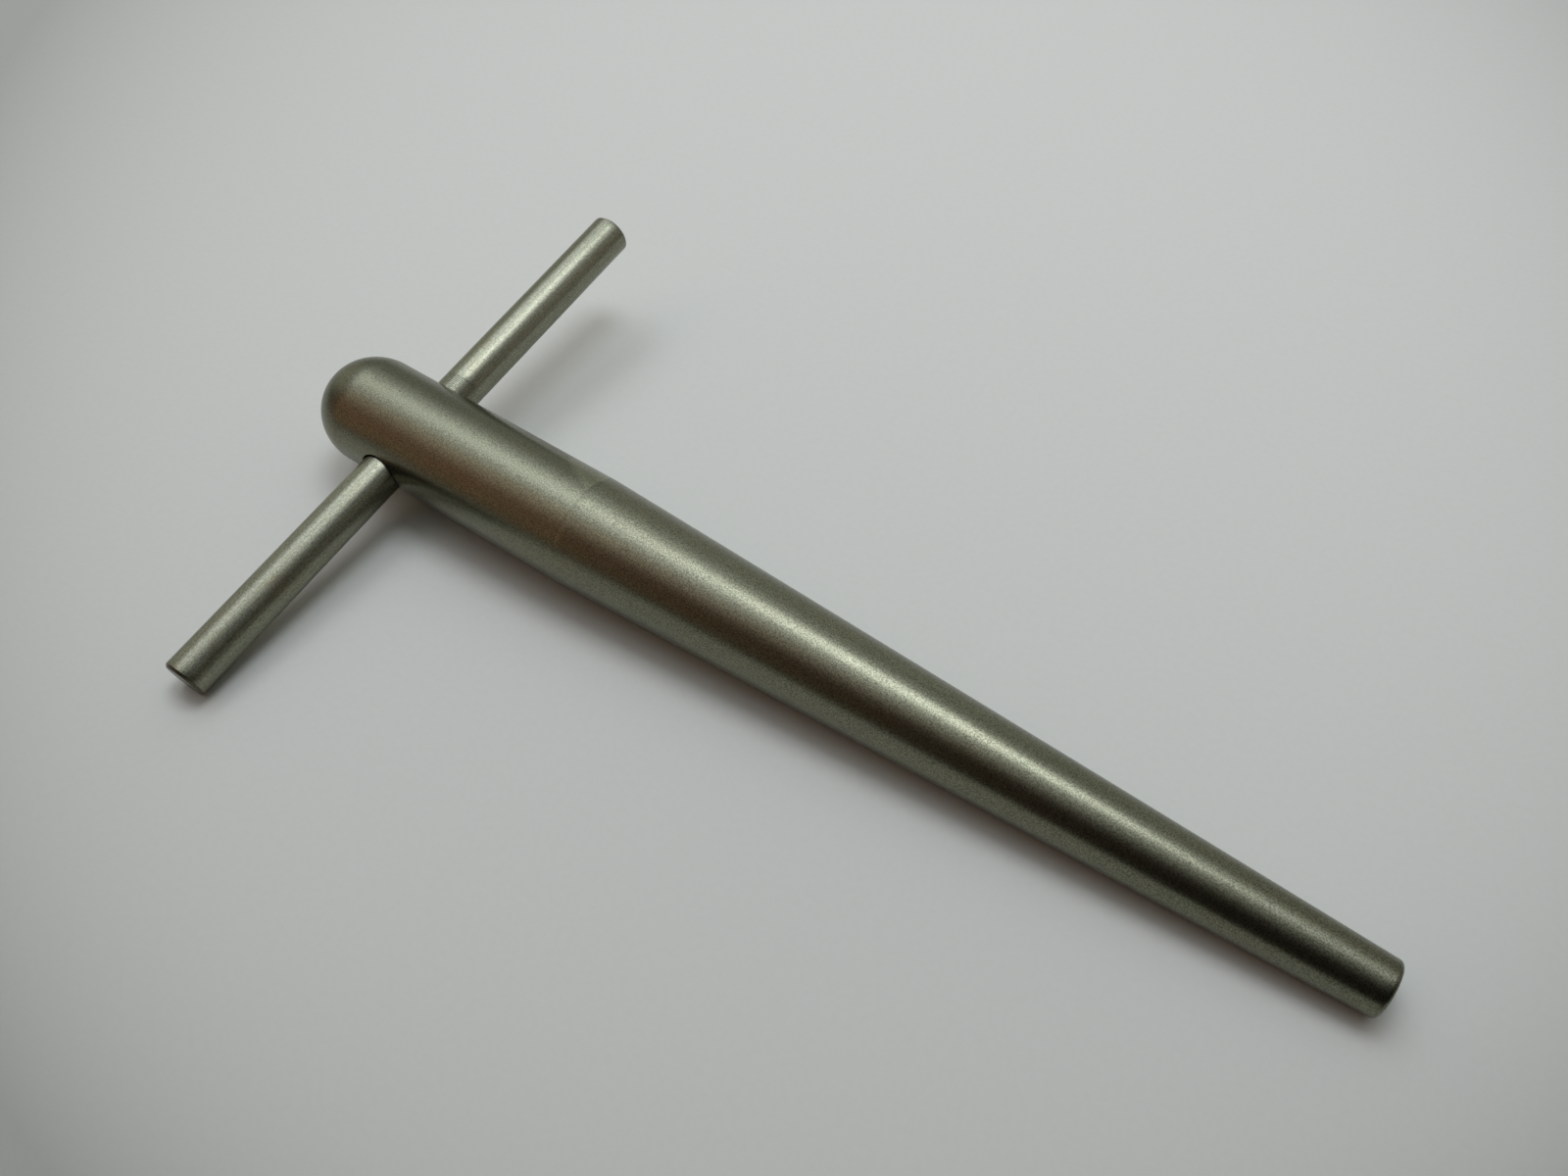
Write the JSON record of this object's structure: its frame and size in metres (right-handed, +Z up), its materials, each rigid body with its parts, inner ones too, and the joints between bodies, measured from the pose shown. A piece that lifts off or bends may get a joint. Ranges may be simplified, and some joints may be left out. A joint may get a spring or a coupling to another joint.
{
  "type": "ring mandrel",
  "caption": "Solid steel ring mandrel: round taper, straight shank and domed head, with a plain tommy bar that slides through a cross bore in the head.",
  "frame": {"origin": "on the surface that the tool lies on, below the centre of its bounding box", "axes": "+X from the domed head towards the small end, +Z up, the tommy bar nearly along Y with its raised end towards +Y"},
  "size_m": [0.248, 0.1438, 0.0285],
  "materials": {
    "mandrel_steel": "dark satin turned steel with fine rings round it",
    "bar_steel": "bright drawn steel with fine lengthwise streaks"
  },
  "bodies": {
    "mandrel": {"mandrel": "mandrel_steel"},
    "tommy_bar": {"tommy_bar": "bar_steel"}
  },
  "joints": [
    {"name": "bar_slide", "type": "slide", "parent": "mandrel", "child": "tommy_bar", "axis": [0.0053, 0.9911, 0.1329], "range_m": [-0.015, 0.015]}
  ]
}
